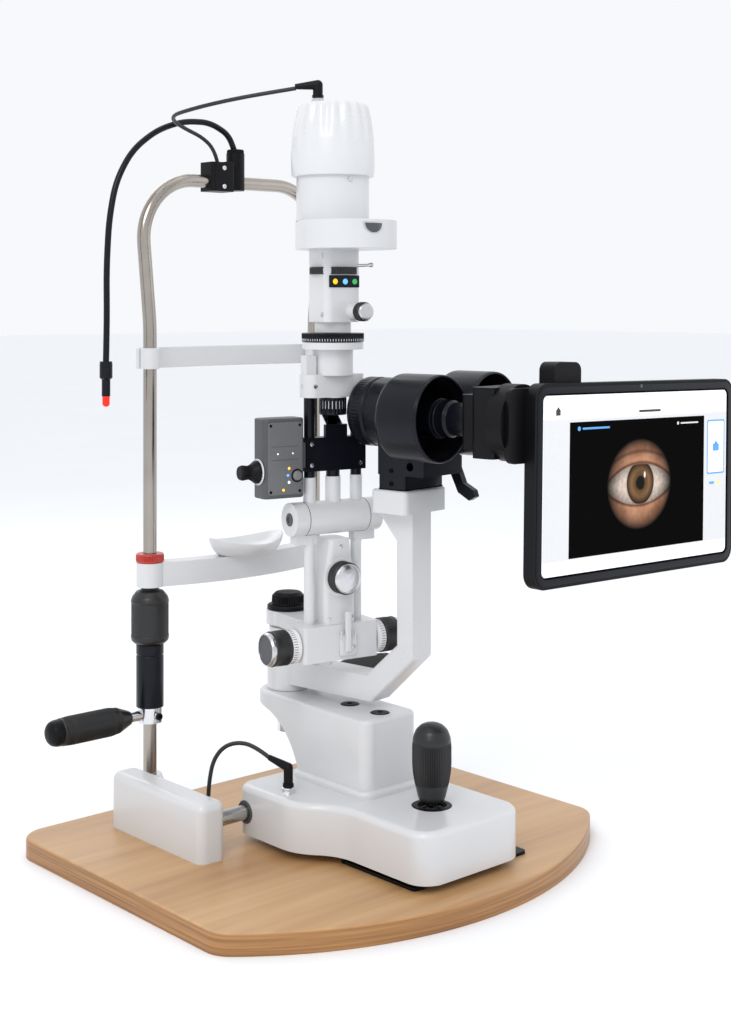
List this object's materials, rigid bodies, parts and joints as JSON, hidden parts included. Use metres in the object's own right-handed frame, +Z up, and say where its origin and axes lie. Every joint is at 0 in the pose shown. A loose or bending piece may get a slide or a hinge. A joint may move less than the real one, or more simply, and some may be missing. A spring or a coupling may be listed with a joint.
{
  "type": "slit lamp",
  "caption": "Slit lamp on a maple table board: head frame with chin rest, joystick base, swinging lamp tower and microscope with an eyepiece tablet holder.",
  "frame": {"origin": "plan centre of the table board's underside", "axes": "+X the operator's right, +Y towards the patient, +Z up"},
  "size_m": [0.533, 0.4507, 0.7458],
  "materials": {
    "maple": "satin lacquer",
    "white_enamel": "fine satin powder coat",
    "white_plastic": "smooth gloss",
    "stainless": "brushed",
    "chrome": "polished",
    "black_satin": "satin",
    "black_matte": "fine grain",
    "black_rubber": "knurled",
    "grey_panel": "matte",
    "red_ring": "knurled",
    "screen": "lit display",
    "mirror": "front silvered",
    "cable_black": "smooth",
    "glass_lamp": "clear"
  },
  "bodies": {
    "stand": {"table_board": "maple", "glide_plate": "black_matte", "rail_covers": "white_enamel", "rail_racks": "stainless", "head_frame_tube": "stainless", "post_collars": "chrome", "grip_clamps": "chrome", "hand_grips": "black_rubber", "chin_lift_sleeve": "black_satin", "forehead_band": "white_plastic", "fixation_clamp": "black_matte", "lamp_cord": "cable_black"},
    "chin_rest": {"chin_bar": "white_plastic", "chin_cup": "white_plastic", "chin_lock_ring": "red_ring"},
    "chin_knob": {"chin_lift_knob": "black_rubber"},
    "fixation": {"fixation_arm": "black_satin", "fixation_light": "red_ring"},
    "carriage": {"axle": "stainless"},
    "wheels": {"rack_wheels": "stainless"},
    "base": {"base_housing": "white_enamel", "column_housing": "white_enamel", "stick_bearing": "black_satin", "base_plug": "cable_black", "base_cord": "cable_black"},
    "base_lock": {"base_lock_knob": "black_matte"},
    "stick_ball": {"joystick_ball": "black_satin"},
    "stick": {"joystick_shaft": "chrome"},
    "stick_grip": {"joystick_grip": "black_rubber"},
    "lift": {"lift_shaft": "chrome"},
    "microscope": {"microscope_arm": "white_enamel", "microscope_mount": "black_satin", "objective_barrel": "black_satin", "prism_housings": "black_satin", "eyepieces": "black_satin"},
    "mount_lever": {"mount_lever": "black_satin"},
    "tablet": {"eyepiece_adapter": "black_matte", "tablet_bracket": "black_matte", "tablet_case": "black_matte", "tablet_screen": "screen"},
    "lamp_arm": {"lamp_arm": "white_enamel", "tower_posts": "white_enamel", "centering_cover": "white_enamel"},
    "arm_lock": {"arm_lock_knob": "black_matte"},
    "slit_knobs": {"slit_width_knobs": "black_rubber"},
    "centering_knob": {"centering_knob": "chrome"},
    "tower": {"tilt_drum": "white_enamel", "mirror_holder": "black_satin", "slit_mirror": "mirror", "control_box": "grey_panel", "lamp_bracket": "white_enamel", "filter_housing": "white_enamel", "dial_housing": "white_enamel", "lamp_housing": "white_enamel", "lamp_cap": "white_plastic", "lamp_bulb": "glass_lamp", "lamp_plug": "cable_black"},
    "control_dial": {"control_dial": "black_matte"},
    "slit_ring": {"slit_rotation_ring": "black_satin"},
    "filter_knob": {"filter_knob": "chrome"}
  },
  "joints": [
    {"name": "chin_lift", "type": "slide", "parent": "stand", "child": "chin_rest", "axis": [0, 0, 1], "range_m": [0, 0.07]},
    {"name": "chin_knob_turn", "type": "hinge", "parent": "stand", "child": "chin_knob", "pos_m": [-0.107, 0.167, 0.219], "axis": [0, 0, 1], "range_deg": [0, 2520]},
    {"name": "fixation_swing", "type": "hinge", "parent": "stand", "child": "fixation", "pos_m": [0, 0.167, 0.679], "axis": [0, 0, 1], "range_deg": [-80, 25]},
    {"name": "base_forward", "type": "slide", "parent": "stand", "child": "carriage", "axis": [0, 1, 0], "range_m": [-0.003, 0.08], "deforming": ["lamp_cord", "base_cord"]},
    {"name": "wheel_roll", "type": "hinge", "parent": "carriage", "child": "wheels", "pos_m": [0.006, 0.04, 0.048], "axis": [1, 0, 0], "range_deg": [-430, 20]},
    {"name": "base_sideways", "type": "slide", "parent": "carriage", "child": "base", "axis": [1, 0, 0], "range_m": [-0.037, 0.037]},
    {"name": "base_lock_turn", "type": "hinge", "parent": "base", "child": "base_lock", "pos_m": [0.062, -0.042, 0.079], "axis": [0, 0, 1], "range_deg": [-90, 0]},
    {"name": "stick_fore_aft", "type": "hinge", "parent": "base", "child": "stick_ball", "pos_m": [0.006, -0.12, 0.049], "axis": [1, 0, 0], "range_deg": [-8, 8]},
    {"name": "stick_sideways", "type": "hinge", "parent": "stick_ball", "child": "stick", "pos_m": [0.006, -0.12, 0.049], "axis": [0, 1, 0], "range_deg": [-8, 8]},
    {"name": "stick_turn", "type": "hinge", "parent": "stick", "child": "stick_grip", "pos_m": [0.006, -0.12, 0.109], "axis": [0, 0, 1], "range_deg": [0, 1080]},
    {"name": "column_lift", "type": "slide", "parent": "base", "child": "lift", "axis": [0, 0, 1], "range_m": [0, 0.03]},
    {"name": "microscope_swing", "type": "hinge", "parent": "lift", "child": "microscope", "pos_m": [0.005, 0.086, 0.159], "axis": [0, 0, 1], "range_deg": [-20, 60]},
    {"name": "mount_lever_turn", "type": "hinge", "parent": "microscope", "child": "mount_lever", "pos_m": [0.03005, -0.09225, 0.38], "axis": [0.9903, 0.1392, 0], "range_deg": [-25, 0]},
    {"name": "tablet_roll", "type": "hinge", "parent": "microscope", "child": "tablet", "pos_m": [0.0081, -0.16602, 0.427], "axis": [-0.1392, 0.9903, 0], "range_deg": [-12, 12]},
    {"name": "lamp_swing", "type": "hinge", "parent": "lift", "child": "lamp_arm", "pos_m": [0.005, 0.086, 0.219], "axis": [0, 0, 1], "range_deg": [-60, 25]},
    {"name": "arm_lock_turn", "type": "hinge", "parent": "lamp_arm", "child": "arm_lock", "pos_m": [0.005, 0.086, 0.229], "axis": [0, 0, 1], "range_deg": [-90, 90]},
    {"name": "slit_width_turn", "type": "hinge", "parent": "lamp_arm", "child": "slit_knobs", "pos_m": [-0.01028, -0.00066, 0.206], "axis": [0.9848, -0.1736, 0], "range_deg": [0, 180]},
    {"name": "centering_turn", "type": "hinge", "parent": "lamp_arm", "child": "centering_knob", "pos_m": [-0.0141, -0.02233, 0.27], "axis": [-0.1736, -0.9848, 0], "range_deg": [-180, 180]},
    {"name": "lamp_tilt", "type": "hinge", "parent": "lamp_arm", "child": "tower", "pos_m": [-0.01028, -0.00066, 0.326], "axis": [0.9848, -0.1736, 0], "range_deg": [-15, 0]},
    {"name": "control_dial_turn", "type": "hinge", "parent": "tower", "child": "control_dial", "pos_m": [-0.08872, 0.0152, 0.373], "axis": [-0.9848, 0.1736, 0], "range_deg": [0, 270]},
    {"name": "slit_rotate", "type": "hinge", "parent": "tower", "child": "slit_ring", "pos_m": [-0.01028, -0.00066, 0.498], "axis": [0, 0, 1], "range_deg": [-90, 90]},
    {"name": "filter_turn", "type": "hinge", "parent": "tower", "child": "filter_knob", "pos_m": [-0.00674, -0.04394, 0.523], "axis": [-0.1736, -0.9848, 0], "range_deg": [-150, 150]}
  ],
  "couplings": [
    {"joint": "chin_knob_turn", "follows": "chin_lift", "rad_per_m": 628.32},
    {"joint": "wheel_roll", "follows": "base_forward", "rad_per_m": -75.758},
    {"joint": "stick_turn", "follows": "column_lift", "rad_per_m": 628.32}
  ]
}
